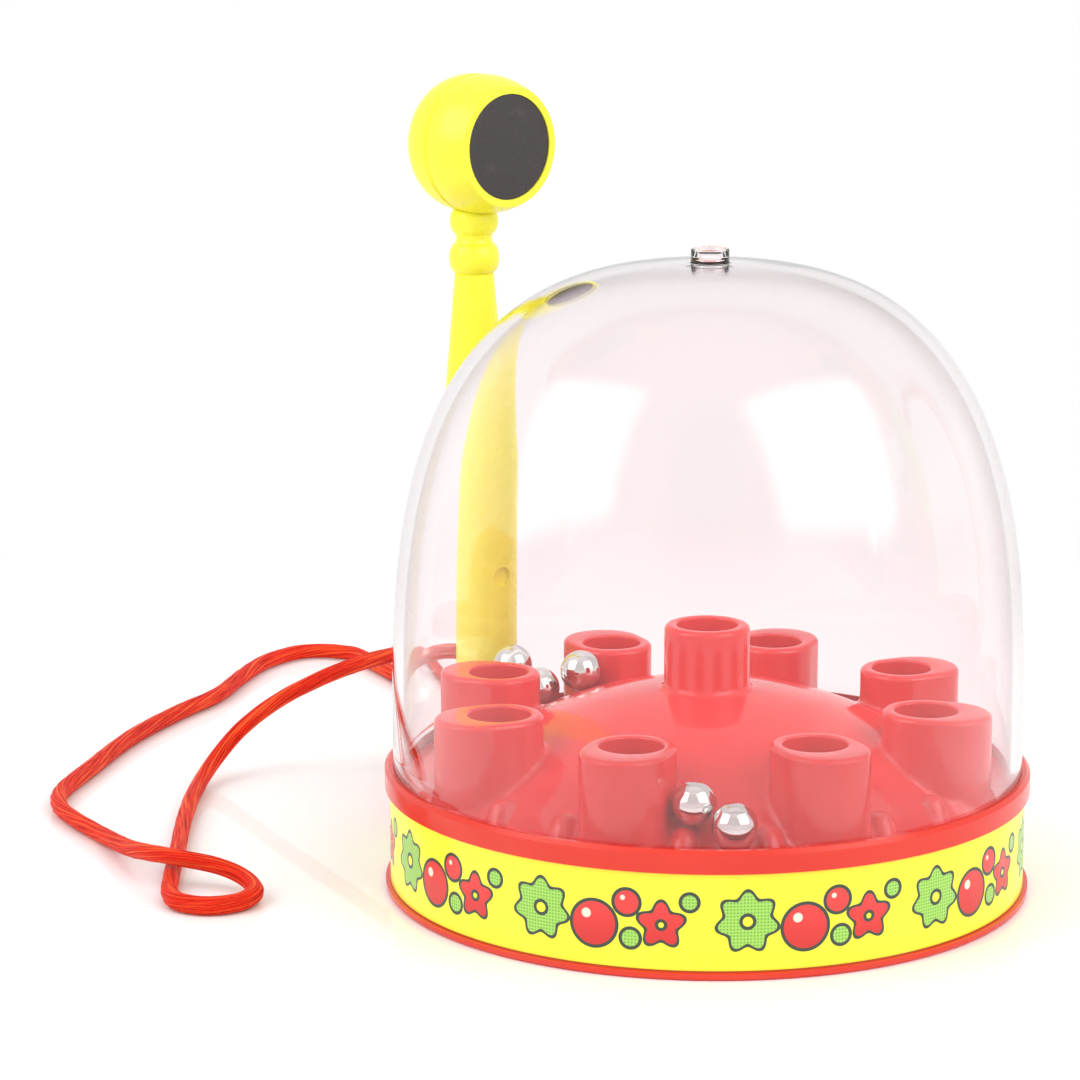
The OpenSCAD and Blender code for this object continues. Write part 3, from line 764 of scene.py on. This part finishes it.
def label_print():
    """Yellow label with a row of outlined flowers, balls and stars."""
    material, tree = new_material("label_print")
    m = Maker(tree)
    parts = m.node("ShaderNodeSeparateXYZ")
    m.put(parts.inputs[0], m.place())
    turn = m.math("ARCTAN2", parts.outputs[0], m.math("MULTIPLY", parts.outputs[1], -1.0))
    cell_w = 2 * math.pi * LABEL_R / LABEL_CELLS
    run = m.math("MULTIPLY", turn, LABEL_R)
    u = m.math("SUBTRACT", m.math("WRAP", run, cell_w, 0.0), cell_w / 2)
    middle_z = (label_low.z + label_high.z) / 2
    v = m.math("SUBTRACT", m.math("MULTIPLY", parts.outputs[2], 1 / MM), middle_z)

    def ball(x, z, r, lobes=0, wave=0.0):
        """Signed distance to a ball, or with lobes to a flower or a soft star."""
        dx = m.math("SUBTRACT", u, x)
        dz = m.math("SUBTRACT", v, z)
        far = m.math("SQRT", m.math("ADD", m.math("MULTIPLY", dx, dx), m.math("MULTIPLY", dz, dz)))
        if lobes:
            around = m.math("COSINE", m.math("MULTIPLY", m.math("ARCTAN2", dx, dz), lobes))
            return m.math("SUBTRACT", far, m.math("MULTIPLY_ADD", around, wave * r, r))
        return m.math("SUBTRACT", far, r)

    def holed(shape, hole):
        return m.math("MAXIMUM", shape, m.math("MULTIPLY", hole, -1.0))

    def joined(*shapes):
        found = shapes[0]
        for shape in shapes[1:]:
            found = m.math("MINIMUM", found, shape)
        return found

    green = joined(holed(ball(-11.2, 0.2, 4.6, 7, 0.14), ball(-11.2, 0.2, 1.5)),
                   ball(5.6, -3.3, 1.5), ball(15.9, 3.6, 1.3))
    red = joined(ball(-1.0, -1.2, 3.9), ball(4.9, 3.1, 2.1),
                 holed(ball(11.0, -0.6, 3.3, 5, 0.22), ball(11.0, -0.6, 1.1)))
    ink = 0.04
    outline = 0.62
    yellow = (0.95, 0.94, 0.03)
    ripple = m.noise(24.0, 2.0)
    tone = m.mix(m.ramp(ripple, 0.3, 0.7), yellow, (0.96, 0.91, 0.024))
    dots = m.node("ShaderNodeTexVoronoi", {"Scale": 1.0}, feature="F1", voronoi_dimensions="2D")
    cell = m.node("ShaderNodeCombineXYZ",
                  {"X": m.math("MULTIPLY", u, 1.7), "Y": m.math("MULTIPLY", v, 1.7)})
    m.put(dots.inputs["Vector"], cell.outputs[0])
    m.put(dots.inputs["Randomness"], 0.0)
    dot = m.ramp(dots.outputs["Distance"], 0.28, 0.34)
    green_tone = m.mix(dot, (0.16, 0.42, 0.05), (0.36, 0.66, 0.10))
    shade = m.ramp(v, -6.0, 6.0)
    red_tone = m.mix(shade, (0.62, 0.015, 0.012), (0.86, 0.045, 0.04))
    for shape, colour in ((green, green_tone), (red, red_tone)):
        tone = m.mix(m.ramp(shape, outline + ink, outline - ink), tone, (0.03, 0.045, 0.03))
        tone = m.mix(m.ramp(shape, ink, -ink), tone, colour)
    gleam = joined(ball(-2.4, 0.5, 0.85), ball(4.2, 3.9, 0.45))
    tone = m.mix(m.ramp(gleam, 0.1, -0.1), tone, (0.98, 0.75, 0.62))
    border = m.ramp(m.math("ABSOLUTE", v), (label_high.z - label_low.z) / 2 - 0.35,
                    (label_high.z - label_low.z) / 2 - 0.2)
    tone = m.mix(border, tone, (0.42, 0.10, 0.02))
    shader = m.node("ShaderNodeBsdfPrincipled",
                    {"Base Color": tone, "Roughness": m.ramp(m.noise(300.0, 3.0), 0.3, 0.7, 0.28, 0.4),
                     "Coat Weight": 0.3, "Coat Roughness": 0.12,
                     "Normal": m.bump(m.noise(90.0, 2.0), 0.1, 0.0002)})
    m.finish(shader.outputs[0])
    return material


def dress(material, *names):
    for name in names:
        data = (nodes.get(name) or bpy.data.objects[name]).data
        data.materials.clear()
        data.materials.append(material)


RED, RED_DEEP = (0.71, 0.032, 0.013), (0.67, 0.026, 0.01)
# The deck's red is bluer than the base's red: a painted reflection, the dome's pale veil laid over the
# deck.
DECK_RED_WITH_PAINTED_VEIL, DECK_DEEP_WITH_PAINTED_VEIL = (0.74, 0.033, 0.031), (0.7, 0.027, 0.026)
YELLOW, YELLOW_DEEP = (0.95, 0.93, 0.045), (0.94, 0.89, 0.035)
dress(plastic("red_plastic", RED, RED_DEEP, 0.2), "base_shell")
dress(plastic("deck_plastic", DECK_RED_WITH_PAINTED_VEIL, DECK_DEEP_WITH_PAINTED_VEIL, 0.12), "deck_moulding")
dress(plastic("yellow_plastic", YELLOW, YELLOW_DEEP, 0.3), "hammer_handle", "head_front", "head_rear")
dress(clear_plastic(), "clear_dome")
dress(label_print(), "label_band")
dress(ferrite(), "head_magnet")
dress(steel("zinc_steel", (0.62, 0.61, 0.58), 0.22, 0.2), "deck_screws")
dress(steel("ball_steel", (0.76, 0.75, 0.73), 0.025, 0.04), *[f"ball_{k}" for k in range(1, 7)])
dress(cord_fibre(), "cord", "cord_end")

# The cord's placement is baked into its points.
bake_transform(cord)


# Floor, world and lamps
FLOOR_HALF = 4.0
FLOOR_SHADE_R, FLOOR_WHITE_R = 0.16, 0.34


def white_to_the_eye(m):
    """1 for rays that show the background: straight, mirrored or through the clear dome."""
    light = m.node("ShaderNodeLightPath")
    seen = m.math("MAXIMUM", light.outputs["Is Camera Ray"], light.outputs["Is Transmission Ray"])
    return m.math("MAXIMUM", seen, light.outputs["Is Glossy Ray"])


def make_floor():
    """Pale board that keeps the shadow near the object and is plain white further out."""
    mesh = bpy.data.meshes.new("floor")
    half = FLOOR_HALF
    mesh.from_pydata([(-half, -half, 0), (half, -half, 0), (half, half, 0), (-half, half, 0)],
                     [], [(0, 1, 2, 3)])
    floor = new_object("floor", mesh, smooth=False)
    floor.location.z = -0.00002
    material, tree = new_material("floor")
    m = Maker(tree)
    board = m.node("ShaderNodeBsdfPrincipled",
                   {"Base Color": (0.95, 0.95, 0.95), "Roughness": 0.6,
                    "Coat Weight": 0.5, "Coat Roughness": 0.02})
    white = m.node("ShaderNodeEmission", {"Color": (1, 1, 1), "Strength": 1.0})
    far = m.node("ShaderNodeVectorMath", operation="LENGTH")
    m.put(far.inputs[0], m.place())
    share = m.math("MULTIPLY", white_to_the_eye(m),
                   m.ramp(far.outputs["Value"], FLOOR_SHADE_R, FLOOR_WHITE_R))
    both = m.node("ShaderNodeMixShader")
    m.put(both.inputs[0], share)
    m.put(both.inputs[1], board.outputs[0])
    m.put(both.inputs[2], white.outputs[0])
    m.finish(both.outputs[0])
    mesh.materials.append(material)


# Radiance of the studio by the height of the direction: 0 is the horizon and 1 straight up
STUDIO_SKY = ((0.0, 1.0), (0.15, 1.0), (0.36, 0.8), (0.8, 0.8), (0.97, 1.0))


def make_world():
    """One pale studio for every ray: white at the horizon, greyer walls above, a bright ceiling."""
    world = bpy.data.worlds.new("studio")
    world.use_nodes = True
    bpy.context.scene.world = world
    tree = world.node_tree
    tree.nodes.clear()
    m = Maker(tree)
    parts = m.node("ShaderNodeSeparateXYZ")
    m.put(parts.inputs[0], m.node("ShaderNodeTexCoord").outputs["Generated"])
    level = STUDIO_SKY[0][1]
    for (low, a), (high, b) in zip(STUDIO_SKY, STUDIO_SKY[1:]):
        if b != a:
            level = m.math("ADD", level, m.ramp(parts.outputs[2], low, high, 0.0, b - a))
    sky = m.node("ShaderNodeBackground", {"Color": (1, 1, 1), "Strength": level})
    out = m.node("ShaderNodeOutputWorld")
    m.put(out.inputs["Surface"], sky.outputs[0])


LAMP_AIM = Vector((0, 0, 0.06))
LAMP_FADE_FROM = 0.3


def soften(data):
    """Lets the lamp's face fade towards its edges, as a cloth diffuser does."""
    data.use_nodes = True
    tree = data.node_tree
    tree.nodes.clear()
    m = Maker(tree)
    parts = m.node("ShaderNodeSeparateXYZ")
    m.put(parts.inputs[0], m.node("ShaderNodeNewGeometry").outputs["Parametric"])
    level = 1.0
    for place in parts.outputs[:2]:
        side = m.math("ABSOLUTE", m.math("SUBTRACT", place, 0.5))
        level = m.math("MULTIPLY", level, m.ramp(side, LAMP_FADE_FROM, 0.5, 1.0, 0.0))
    glow = m.node("ShaderNodeEmission", {"Color": (1, 1, 1), "Strength": level})
    out = m.node("ShaderNodeOutputLight")
    m.put(out.inputs["Surface"], glow.outputs[0])


def soft_box(name, turn, height, far, size, brightness, roll):
    """A square lamp of a given radiance, seen from the object at a turn and height in degrees."""
    data = bpy.data.lights.new(name, "AREA")
    data.shape = "RECTANGLE"
    data.size, data.size_y = size
    data.energy = brightness * math.pi * size[0] * size[1]
    soften(data)
    lamp = bpy.data.objects.new(name, data)
    level = polar(far * math.cos(math.radians(height)), turn)
    lamp.location = LAMP_AIM + Vector((level.x, level.y, far * math.sin(math.radians(height))))
    lamp.rotation_mode = "QUATERNION"
    aim = (LAMP_AIM - lamp.location).to_track_quat("-Z", "Y")
    lamp.rotation_quaternion = aim @ Quaternion((0, 0, 1), math.radians(roll))
    bpy.context.scene.collection.objects.link(lamp)


make_floor()
make_world()
soft_box("box_left", -65, 36, 1.2, (1.05, 1.2), 2.5, 22)
soft_box("box_right", 57, 38, 1.2, (1.3, 1.25), 2.5, -12)
bpy.context.scene.view_settings.view_transform = "Standard"
